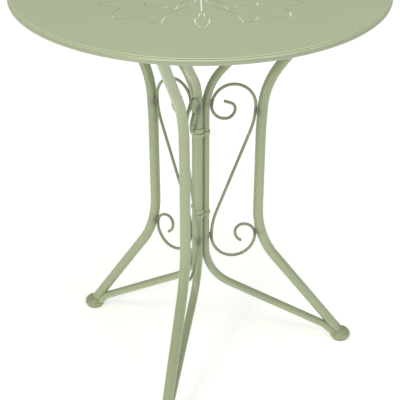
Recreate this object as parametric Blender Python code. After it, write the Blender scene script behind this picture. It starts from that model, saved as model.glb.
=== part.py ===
"""Folding bistro table: a round slotted steel top on three scrolled tube frames.

Metres, +Z up.  The origin is on the floor under the centre of the top, and -Y is the front.
The front frame is bolted to the top.  The left and right frames each turn about their own
upright inner tube, in strap hinges on the front frame's inner tube.
"""
import math

import bmesh
import bpy
from mathutils import Matrix, Vector

# ---- driving dimensions -------------------------------------------------------------------
TOP_HEIGHT = 0.700
TOP_RADIUS = 0.300
GAP = 0.0003                     # clearance left between pieces that touch

SHEET_THICKNESS = 0.0012
SHEET_RADIUS = 0.2968
SHEET_UPPER_BEVEL = 0.0009       # the rounded upper edge of the sheet
SHEET_LOWER_BEVEL = 0.0004
SHEET_SEGMENTS = 96
HOOP_ROD_RADIUS = 0.005
HOOP_SEGMENTS = 72
HOOP_SIDES = 10
SLOT_WIDTH = 0.0017
CUT_MARGIN = 0.002               # how far a cutter runs past the piece it cuts

FRAME_AZIMUTHS = {"front": math.radians(256.45), "right": math.radians(13.5),
                  "left": math.radians(139.2)}
OUTER_TUBE_RADIUS = 0.0088
OUTER_TUBE_WALL = 0.0012
INNER_TUBE_RADIUS = 0.0069
INNER_TUBE_WALL = 0.0010
SCROLL_ROD_RADIUS = 0.0026
OUTER_SIDES, INNER_SIDES, SCROLL_SIDES = 12, 10, 6
INNER_UPRIGHT = 0.0091           # distance of the inner tube's upright run from the centre

FOOT_REACH = 0.2656              # distance of each foot from the centre
FOOT_RADIUS = 0.0185
FOOT_HEIGHT = 0.0215
FOOT_WIDEST = 0.0075             # height of the foot's widest level
FOOT_BASE_INSET = 0.0045         # the flat base is this much narrower than the ball
FOOT_SEGMENTS = 20
FOOT_SOCKET_FLOOR = 0.0115       # height at which the outer tube ends inside the foot

PAD_THICKNESS = 0.003
PAD_LENGTH = 0.030               # along the frame
PAD_WIDTH = 0.040                # across the frame
PAD_CORNER = 0.004
STUD_RADIUS = 0.0025
STUD_OFFSET = 0.0145             # from the middle of the pad, across the frame
NUT_HEIGHT = 0.004
NUT_RADIUS = 0.0044              # to the corners of the hexagon
STUD_END = 0.001                 # how far a stud stands out below its nut

HINGE_WALL = 0.0011
HINGE_HEIGHT = 0.007
HINGE_WAIST = math.radians(28)   # half the arc of each eye that the other eye takes up
HINGE_LEVELS = {"upper": {"left": 0.4560, "right": 0.4470},
                "lower": {"left": 0.3050, "right": 0.2960}}
CATCH_SHEET = 0.0018
CATCH_LENGTH = 0.020
CATCH_LIP = 0.0055               # how far the lip reaches under the pad
CATCH_FLANGE = 0.011             # width of the flange under the sheet
CATCH_CLEARANCE = 0.0005         # between the catch and the pad

# ---- levels that follow from them ---------------------------------------------------------
SHEET_UNDERSIDE = TOP_HEIGHT - SHEET_THICKNESS
PAD_TOP = SHEET_UNDERSIDE - GAP
PAD_UNDERSIDE = PAD_TOP - PAD_THICKNESS
TUBE_TOP = PAD_UNDERSIDE - GAP

# ---- centre lines of a frame, as (distance from the centre, height, bend radius) -----------
OUTER_LINE = [(0.2656, FOOT_SOCKET_FLOOR, 0.0), (0.1020, 0.2383, 0.167), (0.1045, 0.4393, 0.150),
              (0.1093, 0.5247, 0.127), (0.2578, TUBE_TOP, 0.0)]
INNER_LINE = [(0.2530, 0.0130, 0.0), (0.2320, 0.0343, 0.030), (INNER_UPRIGHT, 0.1784, 0.0955),
              (INNER_UPRIGHT, 0.4989, 0.100), (0.0202, 0.5404, 0.0865), (0.1863, TUBE_TOP, 0.0)]

# The scroll rod runs both ways from the middle of its straight diagonal.  Each half is a
# straight length and then arcs, as (radius, turn in degrees); a radius of 0 is straight, and
# the second number is then its length.
SCROLL_MIDDLE = (0.0586, 0.3705)
SCROLL_LEAN = 22.0
SCROLL_NARROWING = 0.975         # the arcs below are squeezed by this much along the frame
UPPER_SCROLL = [(0, 0.0756), (0.121, SCROLL_LEAN), (0.0419, 90), (0.0352, 90), (0.0250, 90),
                (0.0160, 90), (0.0119, 69), (0, 0.0119)]
LOWER_SCROLL = [(0, 0.0816), (0.122, SCROLL_LEAN), (0.0469, 45), (0.0413, 45), (0.0368, 90),
                (0.0231, 90), (0.0135, 90), (0.0207, 60)]

# ---- slots in the top, as (along, across) from the centre in metres -------------------------
PETAL_AXES = [math.radians(a) for a in (48.4, 134.0, 228.4, 314.0)]
DROP_AXES = [math.radians(a) for a in (1.2, 91.2, 181.2, 271.2)]
PETAL_SIDE = [(0.040, 0.030), (0.060, 0.0416), (0.085, 0.0486), (0.106, 0.0470),
              (0.127, 0.0485), (0.145, 0.0565), (0.158, 0.0645)]
PETAL_LOBE = [(0.1625, 0.0610), (0.1640, 0.0500), (0.1605, 0.0400), (0.1550, 0.0300)]
PETAL_TIP = [(0.1545, 0.0235), (0.1620, 0.0205), (0.1720, 0.0185), (0.1810, 0.0125),
             (0.1885, 0.0025)]
SMALL_PETAL_SCALE = 0.645
DROP_SIDE = [(0.1185, 0.0022), (0.1330, 0.0050), (0.1420, 0.0095), (0.1500, 0.0108),
             (0.1600, 0.0096), (0.1710, 0.0060), (0.1810, 0.0022)]
DROP_STALK = [(0.045, 0.0), (0.079, 0.0), (0.112, 0.0)]


# ---- finishes, as (linear colour, roughness, metallic) -------------------------------------
FINISHES = {"paint": ((0.445, 0.521, 0.328), 0.45, 0.0),
            "zinc": ((0.60, 0.60, 0.58), 0.35, 1.0)}


# ---- helpers ------------------------------------------------------------------------------
def material(name, colour, roughness, metallic):
    """A Principled BSDF material of one colour."""
    made = bpy.data.materials.new(name)
    made.use_nodes = True
    shader = made.node_tree.nodes["Principled BSDF"]
    shader.inputs["Base Color"].default_value = (*colour, 1.0)
    shader.inputs["Roughness"].default_value = roughness
    shader.inputs["Metallic"].default_value = metallic
    return made


def new_object(name, bm, parent=None, finish="paint"):
    """Turn a bmesh into a named, smooth-shaded object with its own material."""
    bmesh.ops.recalc_face_normals(bm, faces=bm.faces)
    mesh = bpy.data.meshes.new(name)
    bm.to_mesh(mesh)
    bm.free()
    mesh.shade_smooth()
    mesh.set_sharp_from_angle(angle=math.radians(35))
    mesh.materials.append(material(name + "_" + finish, *FINISHES[finish]))
    made = bpy.data.objects.new(name, mesh)
    bpy.context.scene.collection.objects.link(made)
    made.parent = parent
    return made


def make_cutter(name, bm, parent=None):
    """An object that only cuts others."""
    cutter = new_object(name, bm, parent)
    cutter.hide_render = True
    cutter.display_type = "WIRE"
    return cutter


def cut(target, cutter):
    """Subtract the cutter from the target."""
    step = target.modifiers.new("cut", "BOOLEAN")
    step.operation = "DIFFERENCE"
    step.solver = "EXACT"
    step.object = cutter


def bent_line(corners, step=math.radians(10)):
    """Points along straight runs joined by bends, each bend an arc tangent to its two runs."""
    points = [Vector(corners[0][:2])]
    for before, corner, after in zip(corners, corners[1:], corners[2:]):
        middle = Vector(corner[:2])
        back = (Vector(before[:2]) - middle).normalized()
        ahead = (Vector(after[:2]) - middle).normalized()
        turn = math.pi - back.angle(ahead)
        setback = corner[2] * math.tan(turn / 2)
        start = middle + back * setback
        centre = middle + (back + ahead).normalized() * (corner[2] / math.cos(turn / 2))
        side = 1 if back.x * ahead.y - back.y * ahead.x < 0 else -1
        count = max(2, math.ceil(turn / step))
        for k in range(count + 1):
            spin = Matrix.Rotation(side * turn * k / count, 2)
            points.append(centre + spin @ (start - centre))
    points.append(Vector(corners[-1][:2]))
    return points


def arc_chain(start, heading, pieces, side, step=math.radians(18)):
    """Points along a chain of straight lengths and arcs that all turn to the same side."""
    points = [Vector(start)]
    for radius, amount in pieces:
        if radius == 0:
            points.append(points[-1] + heading * amount)
            continue
        turn = math.radians(amount)
        count = math.ceil(turn / step)
        spin = Matrix.Rotation(side * turn / count, 2)
        half = Matrix.Rotation(side * turn / count / 2, 2)
        for _ in range(count):
            chord = 2 * radius * math.sin(turn / count / 2)
            points.append(points[-1] + (half @ heading) * chord)
            heading = spin @ heading
    return points


def scroll_line():
    """The whole scroll, from its upper inner end to its lower inner end."""
    lean = math.radians(SCROLL_LEAN)
    up = Vector((math.sin(lean), math.cos(lean)))
    upper = arc_chain(SCROLL_MIDDLE, up, UPPER_SCROLL, side=1)
    lower = arc_chain(SCROLL_MIDDLE, -up, LOWER_SCROLL, side=1)
    middle = SCROLL_MIDDLE[0]
    return [Vector((middle + SCROLL_NARROWING * (point.x - middle), point.y))
            for point in upper[:0:-1] + lower[1:]]


def section_rings(bm, line, radius, sides, level_end=False):
    """Rings round a line in the frame's plane, whose own X starts at the inner upright."""
    rings = []
    last = len(line) - 1
    for k, point in enumerate(line):
        ahead = line[min(k + 1, last)] - point
        back = point - line[max(k - 1, 0)]
        along = (ahead.normalized() + back.normalized()).normalized()
        across = Vector((along.y, -along.x))
        ring = []
        for s in range(sides):
            turn = 2 * math.pi * (s + 0.5) / sides
            flat = point + across * radius * math.cos(turn)
            if level_end and k == last:
                flat += along * ((point.y - flat.y) / along.y)
            ring.append(bm.verts.new((flat.x - INNER_UPRIGHT, radius * math.sin(turn), flat.y)))
        rings.append(ring)
    return rings


def skin(bm, rings):
    """Quads between neighbouring rings."""
    for a, b in zip(rings, rings[1:]):
        for s in range(len(a)):
            t = (s + 1) % len(a)
            bm.faces.new((a[s], a[t], b[t], b[s]))


def rod(line, radius, sides):
    """A solid round bar along a flat line."""
    bm = bmesh.new()
    rings = section_rings(bm, line, radius, sides)
    skin(bm, rings)
    bm.faces.new(rings[0])
    bm.faces.new(rings[-1])
    return bm


def tube(line, radius, wall, sides):
    """A hollow tube along a flat line, open at both ends and cut level at the top."""
    bm = bmesh.new()
    outside = section_rings(bm, line, radius, sides, level_end=True)
    inside = section_rings(bm, line, radius - wall, sides, level_end=True)
    skin(bm, outside)
    skin(bm, inside)
    skin(bm, [outside[0], inside[0]])
    skin(bm, [outside[-1], inside[-1]])
    return bm


def turned(profile, segments, centre=(0.0, 0.0)):
    """A solid of revolution about a vertical axis; the profile runs from axis to axis."""
    bm = bmesh.new()
    rings = []
    for radius, height in profile[1:-1]:
        rings.append([bm.verts.new((centre[0] + radius * math.cos(2 * math.pi * s / segments),
                                    centre[1] + radius * math.sin(2 * math.pi * s / segments),
                                    height)) for s in range(segments)])
    skin(bm, rings)
    for ring, (_, height) in ((rings[0], profile[0]), (rings[-1], profile[-1])):
        tip = bm.verts.new((centre[0], centre[1], height))
        for s in range(segments):
            bm.faces.new((ring[s], ring[(s + 1) % segments], tip))
    return bm


def prism(bm, outline, low, high):
    """Add a flat outline, extruded from one level to another."""
    bottom = [bm.verts.new((p[0], p[1], low)) for p in outline]
    top = [bm.verts.new((p[0], p[1], high)) for p in outline]
    bm.faces.new(bottom)
    bm.faces.new(top)
    skin(bm, [bottom, top])


def circle(centre, radius, sides, start=0.0):
    """Points round a circle."""
    return [(centre[0] + radius * math.cos(start + 2 * math.pi * s / sides),
             centre[1] + radius * math.sin(start + 2 * math.pi * s / sides))
            for s in range(sides)]


# ---- the top ------------------------------------------------------------------------------
def strip(points):
    """The outline of a slot along a line of points."""
    left, right = [], []
    for k, point in enumerate(points):
        along = (points[min(k + 1, len(points) - 1)] - points[max(k - 1, 0)]).normalized()
        across = Vector((-along.y, along.x)) * SLOT_WIDTH / 2
        left.append(point + across)
        right.append(point - across)
    return left + right[::-1]


def slot_lines():
    """The centre lines of all slots: petals, small petals, drops and their stalks."""
    lines = []
    for axis in PETAL_AXES:
        turn = Matrix.Rotation(axis, 2)
        for scale in (1.0, SMALL_PETAL_SCALE):
            for side in (1, -1):
                for stroke in (PETAL_SIDE, PETAL_LOBE, PETAL_TIP):
                    lines.append([turn @ Vector((a * scale, b * side * scale))
                                  for a, b in stroke])
    for axis in DROP_AXES:
        turn = Matrix.Rotation(axis, 2)
        for side in (1, -1):
            lines.append([turn @ Vector((a, b * side)) for a, b in DROP_SIDE])
        lines.append([turn @ Vector(p) for p in DROP_STALK])
    return lines


def build_top():
    """The slotted sheet and the round hoop under its edge."""
    sheet = new_object("table_top", turned(
        [(0, SHEET_UNDERSIDE), (SHEET_RADIUS - SHEET_LOWER_BEVEL, SHEET_UNDERSIDE),
         (SHEET_RADIUS, SHEET_UNDERSIDE + SHEET_THICKNESS / 2),
         (SHEET_RADIUS - SHEET_UPPER_BEVEL, TOP_HEIGHT), (0, TOP_HEIGHT)], SHEET_SEGMENTS))
    bm = bmesh.new()
    for line in slot_lines():
        prism(bm, strip(line), SHEET_UNDERSIDE - CUT_MARGIN, TOP_HEIGHT + CUT_MARGIN)
    cut(sheet, make_cutter("slot_cutter", bm))

    ring_radius = TOP_RADIUS - HOOP_ROD_RADIUS
    ring_height = SHEET_UNDERSIDE - GAP - HOOP_ROD_RADIUS
    bm = bmesh.new()
    rings = []
    for s in range(HOOP_SEGMENTS):
        turn = 2 * math.pi * s / HOOP_SEGMENTS
        ring = []
        for t in range(HOOP_SIDES):
            tilt = 2 * math.pi * (t + 0.5) / HOOP_SIDES
            reach = ring_radius + HOOP_ROD_RADIUS * math.cos(tilt)
            ring.append(bm.verts.new((reach * math.cos(turn), reach * math.sin(turn),
                                      ring_height + HOOP_ROD_RADIUS * math.sin(tilt))))
        rings.append(ring)
    skin(bm, rings + [rings[0]])
    new_object("rim_hoop", bm)


# ---- one frame ----------------------------------------------------------------------------
def upright_place(side):
    """Where the axis of a frame's upright inner tube stands on the floor."""
    azimuth = FRAME_AZIMUTHS[side]
    return Vector((INNER_UPRIGHT * math.cos(azimuth), INNER_UPRIGHT * math.sin(azimuth)))


def frame_empty(side):
    """An empty on the axis of a frame's inner tube, turned to face along the frame."""
    pivot = bpy.data.objects.new("pivot_" + side, None)
    pivot.location = (*upright_place(side), 0)
    pivot.rotation_euler = (0, 0, FRAME_AZIMUTHS[side])
    bpy.context.scene.collection.objects.link(pivot)
    return pivot


def foot_profile(grow=0.0):
    """A low ball foot with a flat base; grow adds a clearance all round."""
    wide = FOOT_RADIUS + grow
    rise = FOOT_HEIGHT - FOOT_WIDEST + grow
    dome = [(wide * math.cos(turn), FOOT_WIDEST + rise * math.sin(turn))
            for turn in (math.radians(18) * k for k in range(5))]
    return [(0, -grow), (wide - FOOT_BASE_INSET, -grow),
            (wide - FOOT_BASE_INSET / 4, FOOT_WIDEST / 4), *dome, (0, FOOT_HEIGHT + grow)]


def pad(name, line, parent, bolted):
    """A flat plate on the top end of a tube; the bolted ones have two stud holes."""
    middle = line[-1].x - INNER_UPRIGHT
    corner_x, corner_y = PAD_LENGTH / 2 - PAD_CORNER, PAD_WIDTH / 2 - PAD_CORNER
    outline = []
    for x, y, start in ((1, 1, 0), (-1, 1, 90), (-1, -1, 180), (1, -1, 270)):
        for k in range(4):
            turn = math.radians(start + 30 * k)
            outline.append((middle + x * corner_x + PAD_CORNER * math.cos(turn),
                            y * corner_y + PAD_CORNER * math.sin(turn)))
    bm = bmesh.new()
    prism(bm, outline, PAD_UNDERSIDE, PAD_TOP)
    plate = new_object(name, bm, parent)
    if bolted:
        bm = bmesh.new()
        for side in (1, -1):
            prism(bm, circle((middle, side * STUD_OFFSET), STUD_RADIUS + GAP, 12),
                  PAD_UNDERSIDE - CUT_MARGIN, PAD_TOP + CUT_MARGIN)
        cut(plate, make_cutter(name + "_holes", bm, parent))


def build_frame(side):
    """Outer tube, inner tube, scroll, foot and two top pads of one frame."""
    pivot = frame_empty(side)
    outer_line = bent_line(OUTER_LINE)
    inner_line = bent_line(INNER_LINE)
    outer = tube(outer_line, OUTER_TUBE_RADIUS, OUTER_TUBE_WALL, OUTER_SIDES)
    inner = tube(inner_line, INNER_TUBE_RADIUS, INNER_TUBE_WALL, INNER_SIDES)
    new_object("outer_tube_" + side, outer, pivot)
    inner_tube = new_object("inner_tube_" + side, inner, pivot)
    new_object("scroll_" + side, rod(scroll_line(), SCROLL_ROD_RADIUS, SCROLL_SIDES), pivot)

    foot_place = (FOOT_REACH - INNER_UPRIGHT, 0.0)
    foot = new_object("foot_" + side, turned(foot_profile(), FOOT_SEGMENTS, foot_place), pivot)
    along = (outer_line[1] - outer_line[0]).normalized()
    socket = [outer_line[0] - along * GAP, outer_line[0] + along * 2 * FOOT_HEIGHT]
    roomy = OUTER_TUBE_RADIUS + GAP
    cut(foot, make_cutter("socket_" + side, rod(socket, roomy, OUTER_SIDES), pivot))
    cut(inner_tube, make_cutter("foot_room_" + side,
                                turned(foot_profile(GAP), FOOT_SEGMENTS, foot_place), pivot))
    cut(inner_tube, make_cutter("tube_room_" + side,
                                rod(outer_line[:2], roomy, OUTER_SIDES), pivot))

    bolted = side == "front"
    pad("outer_top_pad_" + side, outer_line, pivot, bolted)
    pad("inner_top_pad_" + side, inner_line, pivot, bolted)


def build_top_fasteners():
    """Studs welded under the sheet and the nuts that hold the front frame's pads."""
    azimuth = FRAME_AZIMUTHS["front"]
    turn = Matrix.Rotation(azimuth, 2)
    nut_top = PAD_UNDERSIDE - GAP
    nut_foot = nut_top - NUT_HEIGHT
    for row, line in (("outer", OUTER_LINE), ("inner", INNER_LINE)):
        for number, side in ((1, 1), (2, -1)):
            place = turn @ Vector((line[-1][0], side * STUD_OFFSET))
            bm = bmesh.new()
            prism(bm, circle(place, STUD_RADIUS, 12), nut_foot - STUD_END, PAD_TOP)
            new_object(f"{row}_stud_{number}", bm, finish="zinc")

            hexagon = [Vector(p) for p in circle(place, NUT_RADIUS, 6, azimuth)]
            outer = [hexagon[k].lerp(hexagon[(k + 1) % 6], f) for k in range(6) for f in (0, 0.5)]
            inner = circle(place, STUD_RADIUS + GAP, 12, azimuth)
            bm = bmesh.new()
            rings = [[bm.verts.new((p[0], p[1], z)) for p in points] for points, z in
                     ((outer, nut_foot), (outer, nut_top), (inner, nut_top), (inner, nut_foot))]
            skin(bm, rings + [rings[0]])
            new_object(f"{row}_nut_{number}", bm, finish="zinc")


# ---- hinges and catches -------------------------------------------------------------------
def build_hinge(level, side):
    """A figure-of-eight strap that joins a swinging inner tube to the front one."""
    bore = INNER_TUBE_RADIUS + GAP
    front, swinging = upright_place("front"), upright_place(side)
    heading = math.atan2(swinging.y - front.y, swinging.x - front.x)
    outline = []
    for centre, start in ((front, heading), (swinging, heading + math.pi)):
        for k in range(15):
            turn = start + HINGE_WAIST + 2 * (math.pi - HINGE_WAIST) * k / 14
            outline.append((centre.x + (bore + HINGE_WALL) * math.cos(turn),
                            centre.y + (bore + HINGE_WALL) * math.sin(turn)))
    low = HINGE_LEVELS[level][side] - HINGE_HEIGHT / 2
    high = low + HINGE_HEIGHT
    name = level + "_hinge_" + side
    bm = bmesh.new()
    prism(bm, outline, low, high)
    strap = new_object(name, bm)
    bm = bmesh.new()
    for centre in (front, swinging):
        prism(bm, circle(centre, bore, 16), low - CUT_MARGIN, high + CUT_MARGIN)
    cut(strap, make_cutter(name + "_bores", bm))


def build_catch(name, side, line):
    """A J-shaped catch under the sheet that stops and holds a pad of a swinging frame."""
    closed_side = 1 if side == "right" else -1
    wall = PAD_WIDTH / 2 + CATCH_CLEARANCE
    lip_top = PAD_UNDERSIDE - CATCH_CLEARANCE
    flange_low = PAD_TOP - CATCH_SHEET
    outline = [(wall, PAD_TOP), (wall, lip_top), (wall - CATCH_LIP, lip_top),
               (wall - CATCH_LIP, lip_top - CATCH_SHEET),
               (wall + CATCH_SHEET, lip_top - CATCH_SHEET), (wall + CATCH_SHEET, flange_low),
               (wall + CATCH_FLANGE, flange_low), (wall + CATCH_FLANGE, PAD_TOP)]
    middle = line[-1][0] - INNER_UPRIGHT
    bm = bmesh.new()
    ends = [[bm.verts.new((x, closed_side * y, z)) for y, z in outline]
            for x in (middle - CATCH_LENGTH / 2, middle + CATCH_LENGTH / 2)]
    bm.faces.new(ends[0])
    bm.faces.new(ends[1])
    skin(bm, ends)
    catch = new_object(name, bm)
    catch.location = (*upright_place(side), 0)
    catch.rotation_euler = (0, 0, FRAME_AZIMUTHS[side])


def main():
    """Clear the scene and build every piece."""
    for old in list(bpy.data.objects):
        bpy.data.objects.remove(old, do_unlink=True)
    build_top()
    for side in FRAME_AZIMUTHS:
        build_frame(side)
    build_top_fasteners()
    for side in ("left", "right"):
        for level in HINGE_LEVELS:
            build_hinge(level, side)
        build_catch("outer_catch_" + side, side, OUTER_LINE)
        build_catch("inner_catch_" + side, side, INNER_LINE)


main()
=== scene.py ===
"""Folding bistro table in sage powder coat: the visible pieces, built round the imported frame.

A round slotted sheet on a hoop stands on three scrolled tube frames.  The front frame is
bolted to the top; the left and right frames turn about their own upright posts, in strap
hinges on the front post.  Metres, +Z up, the origin on the floor under the centre of the top.
"""
import logging
from dataclasses import dataclass, field
from enum import Enum

import bpy
import numpy as np
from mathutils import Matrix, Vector, geometry


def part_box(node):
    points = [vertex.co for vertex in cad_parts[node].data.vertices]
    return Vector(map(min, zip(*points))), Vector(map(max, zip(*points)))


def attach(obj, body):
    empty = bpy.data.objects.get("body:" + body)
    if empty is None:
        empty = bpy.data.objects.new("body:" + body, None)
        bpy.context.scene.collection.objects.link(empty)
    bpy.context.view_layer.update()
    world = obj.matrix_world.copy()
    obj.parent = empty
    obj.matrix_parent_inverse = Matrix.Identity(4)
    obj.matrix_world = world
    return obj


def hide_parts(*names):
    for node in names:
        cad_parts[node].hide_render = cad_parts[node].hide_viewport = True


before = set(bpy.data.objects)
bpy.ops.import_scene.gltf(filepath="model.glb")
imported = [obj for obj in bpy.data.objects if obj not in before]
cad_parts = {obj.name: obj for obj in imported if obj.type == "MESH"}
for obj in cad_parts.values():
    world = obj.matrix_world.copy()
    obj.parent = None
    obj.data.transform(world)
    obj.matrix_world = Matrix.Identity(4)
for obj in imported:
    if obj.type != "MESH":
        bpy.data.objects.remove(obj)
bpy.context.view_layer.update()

LOG = logging.getLogger("bistro_table")
Array = np.ndarray
Colour = tuple[float, float, float, float]
TURN = 2 * np.pi
EVEN_FILM = 0.5        # the film_and_light attribute runs from 0, thin film over an edge and painted highlight, to 1, painted shade
NOISE_LOW, NOISE_HIGH = 0.2, 0.8       # the part of a noise's range that a tint is spread over
BEAD_SHADE, BEAD_SHADE_RIPPLE = 0.62, 0.12       # weld beads are painted darker, as shade at the joints; the ripple term varies it along a bead
# weld lumps are painted darker, as shade at the joints
LUMP_SHADE = 0.66
BEAD_SWELL = 0.10      # how much a bead's ripples stand out, of its radius
LUMP_WAVES = (0.07, 0.04)      # the same for the three and the five waves of a lump
POLE = 0.001           # end radius of a turned profile, which a fan then closes


# ---- colours and nodes ----------------------------------------------------------------------
def linear(hex_colour: str) -> Colour:
    """Turn an sRGB colour into linear light.

    Args:
        hex_colour: "#rrggbb".

    Returns:
        Red, green, blue and an alpha of 1.
    """
    srgb = np.array([int(hex_colour[k:k + 2], 16) for k in (1, 3, 5)]) / 255
    light = np.where(srgb <= 0.04045, srgb / 12.92, ((srgb + 0.055) / 1.055) ** 2.4)
    return (*light.tolist(), 1.0)


def add_node(tree: bpy.types.NodeTree, kind: str, settings: dict | None = None,
             inputs: dict | None = None) -> bpy.types.Node:
    """Add one node with its settings, its constant inputs and its links.

    Args:
        tree: the node tree it goes in.
        kind: the node's type name.
        settings: property name to value.
        inputs: input name or number to a constant, or to the output socket that feeds it.

    Returns:
        The new node.
    """
    node = tree.nodes.new(kind)
    for name, value in (settings or {}).items():
        setattr(node, name, value)
    for socket, source in (inputs or {}).items():
        if isinstance(source, bpy.types.NodeSocket):
            tree.links.new(source, node.inputs[socket])
        else:
            node.inputs[socket].default_value = source
    return node


def blank_material(name: str) -> tuple[bpy.types.Material, bpy.types.NodeTree, bpy.types.Node]:
    """Make a material with only an output and a Principled shader.

    Args:
        name: what the surface is.

    Returns:
        The material, its node tree and the shader node.
    """
    made = bpy.data.materials.new(name)
    made.use_nodes = True
    tree = made.node_tree
    tree.nodes.clear()
    shader = add_node(tree, "ShaderNodeBsdfPrincipled")
    add_node(tree, "ShaderNodeOutputMaterial", inputs={"Surface": shader.outputs["BSDF"]})
    return made, tree, shader


@dataclass(frozen=True)
class PowderCoat:
    """Polyester powder coat baked on mild steel.

    The powder melts into one film, so the eye gets an even, opaque satin colour with soft
    reflections and a faint orange peel.  Over sharp edges the colour is paler, partly for the
    thin film there and partly as a painted highlight; over the hoop's crest it is a painted
    highlight.  On and next to welds, inside slots, on the scroll bar and on the hoop's lower
    side the colour is painted darker, as shade.
    """

    name: str
    body: str
    # thin_and_highlight: pale tint for thin film over edges and for painted highlights;
    # painted_shade: darker tint painted where shade falls
    thin_and_highlight: str
    painted_shade: str
    roughness: float
    peel_mm: float = 3.0         # real peel is 1 to 2 mm; drawn coarser so that it shows
    peel_height_mm: float = 0.02
    cloud_mm: float = 90.0       # slow drift in film thickness along a part
    cloud_share: float = 0.06
    gloss_drift: float = 0.02

    def make(self) -> bpy.types.Material:
        """Build the nodes: colour and painted light from film_and_light, clouds, peel bump, soft
        gloss.

        Returns:
            The material.
        """
        made, tree, shader = blank_material(self.name)
        place = add_node(tree, "ShaderNodeTexCoord").outputs["Object"]
        film_and_light = add_node(tree, "ShaderNodeAttribute", {"attribute_name": "film_and_light"})
        # film_and_light 0 is the pale thin-film and highlight tint, 0.5 the body colour, 1 the
        # painted shade
        colour = add_node(tree, "ShaderNodeValToRGB", inputs={"Fac": film_and_light.outputs["Fac"]})
        stops = colour.color_ramp.elements
        stops[0].position, stops[0].color = 0.0, linear(self.thin_and_highlight)
        stops[1].position, stops[1].color = 1.0, linear(self.painted_shade)
        middle = stops.new(EVEN_FILM)
        middle.color = linear(self.body)

        cloud = add_node(tree, "ShaderNodeTexNoise",
                         inputs={"Vector": place, "Scale": 1000 / self.cloud_mm, "Detail": 2.0})
        drift = add_node(tree, "ShaderNodeMapRange", inputs={
            "Value": cloud.outputs["Fac"], "From Min": NOISE_LOW, "From Max": NOISE_HIGH,
            "To Min": 1 - self.cloud_share / 2, "To Max": 1 + self.cloud_share / 2})
        tinted = add_node(tree, "ShaderNodeMix", {"data_type": "RGBA", "blend_type": "MULTIPLY"},
                          {"Factor": 1.0, "A": colour.outputs["Color"],
                           "B": drift.outputs["Result"]})
        tree.links.new(tinted.outputs["Result"], shader.inputs["Base Color"])

        sheen = add_node(tree, "ShaderNodeMapRange", inputs={
            "Value": cloud.outputs["Fac"], "From Min": NOISE_LOW, "From Max": NOISE_HIGH,
            "To Min": self.roughness - self.gloss_drift,
            "To Max": self.roughness + self.gloss_drift})
        tree.links.new(sheen.outputs["Result"], shader.inputs["Roughness"])

        peel = add_node(tree, "ShaderNodeTexNoise",
                        inputs={"Vector": place, "Scale": 1000 / self.peel_mm, "Detail": 1.0})
        bump = add_node(tree, "ShaderNodeBump",
                        inputs={"Strength": 1.0, "Distance": self.peel_height_mm / 1000,
                                "Height": peel.outputs["Fac"]})
        tree.links.new(bump.outputs["Normal"], shader.inputs["Normal"])
        shader.inputs["IOR"].default_value = 1.5
        return made


@dataclass(frozen=True)
class ZincPlate:
    """Bright zinc plate on turned steel fasteners.

    Electroplated and passivated, so the eye gets a pale grey metal with a faint straw and
    blue bloom and a slightly dull shine.
    """

    name: str = "zinc_plated_steel"
    pale: str = "#c9c8c2"
    bloom: str = "#b9bdbd"
    roughness: float = 0.34
    bloom_mm: float = 2.5

    def make(self) -> bpy.types.Material:
        """Build the nodes: two close greys in a slow noise, and a metal shader.

        Returns:
            The material.
        """
        made, tree, shader = blank_material(self.name)
        place = add_node(tree, "ShaderNodeTexCoord").outputs["Object"]
        noise = add_node(tree, "ShaderNodeTexNoise",
                         inputs={"Vector": place, "Scale": 1000 / self.bloom_mm, "Detail": 3.0})
        colour = add_node(tree, "ShaderNodeMix", {"data_type": "RGBA"},
                          {"Factor": noise.outputs["Fac"], "A": linear(self.pale),
                           "B": linear(self.bloom)})
        tree.links.new(colour.outputs["Result"], shader.inputs["Base Color"])
        shader.inputs["Metallic"].default_value = 1.0
        shader.inputs["Roughness"].default_value = self.roughness
        return made


@dataclass(frozen=True)
class MouldedNylon:
    """Dark grey-green nylon, injection moulded.

    The mould was lightly spark-eroded, so the eye gets a dull, finely grained dark disc.
    Its dark colour is painted shadow: it stands in for the contact shadow under the foot.
    """

    name: str = "dark_nylon_painted_shadow"
    body: str = "#5d6350"
    roughness: float = 0.6
    grain_mm: float = 0.8
    grain_height_mm: float = 0.03
    mottle: float = 0.15

    def make(self) -> bpy.types.Material:
        """Build the nodes: a slightly mottled colour and a grained bump.

        Returns:
            The material.
        """
        made, tree, shader = blank_material(self.name)
        place = add_node(tree, "ShaderNodeTexCoord").outputs["Object"]
        grain = add_node(tree, "ShaderNodeTexNoise",
                         inputs={"Vector": place, "Scale": 1000 / self.grain_mm, "Detail": 2.0})
        shade = add_node(tree, "ShaderNodeMapRange", inputs={
            "Value": grain.outputs["Fac"], "To Min": 1 - self.mottle, "To Max": 1 + self.mottle})
        tinted = add_node(tree, "ShaderNodeMix", {"data_type": "RGBA", "blend_type": "MULTIPLY"},
                          {"Factor": 1.0, "A": linear(self.body), "B": shade.outputs["Result"]})
        tree.links.new(tinted.outputs["Result"], shader.inputs["Base Color"])
        bump = add_node(tree, "ShaderNodeBump",
                        inputs={"Distance": self.grain_height_mm / 1000,
                                "Height": grain.outputs["Fac"]})
        tree.links.new(bump.outputs["Normal"], shader.inputs["Normal"])
        shader.inputs["Roughness"].default_value = self.roughness
        return made


class Finish(Enum):
    """The finishes on this table."""

    # Each coat lists its body colour, then the pale tint for thin edges and painted highlights,
    # then the painted shade colour, greyed for the top and the frame
    TOP = PowderCoat("sage_powder_coat_top", "#acb893", "#ccd6b8", "#8a9080", 0.28,
                     cloud_share=0.03)
    FRAME = PowderCoat("sage_powder_coat_frame", "#9faa88", "#b8c1a4", "#66695b", 0.15)
    FOOT = PowderCoat("sage_powder_coat_foot", "#98a480", "#a9b493", "#66704f", 0.28)
    ZINC = ZincPlate()
    # the glide's dark nylon is painted contact shadow under the feet
    GLIDE = MouldedNylon()

    def material(self) -> bpy.types.Material:
        """The one material of this finish, made when it is first asked for."""
        return bpy.data.materials.get(self.value.name) or self.value.make()


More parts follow.
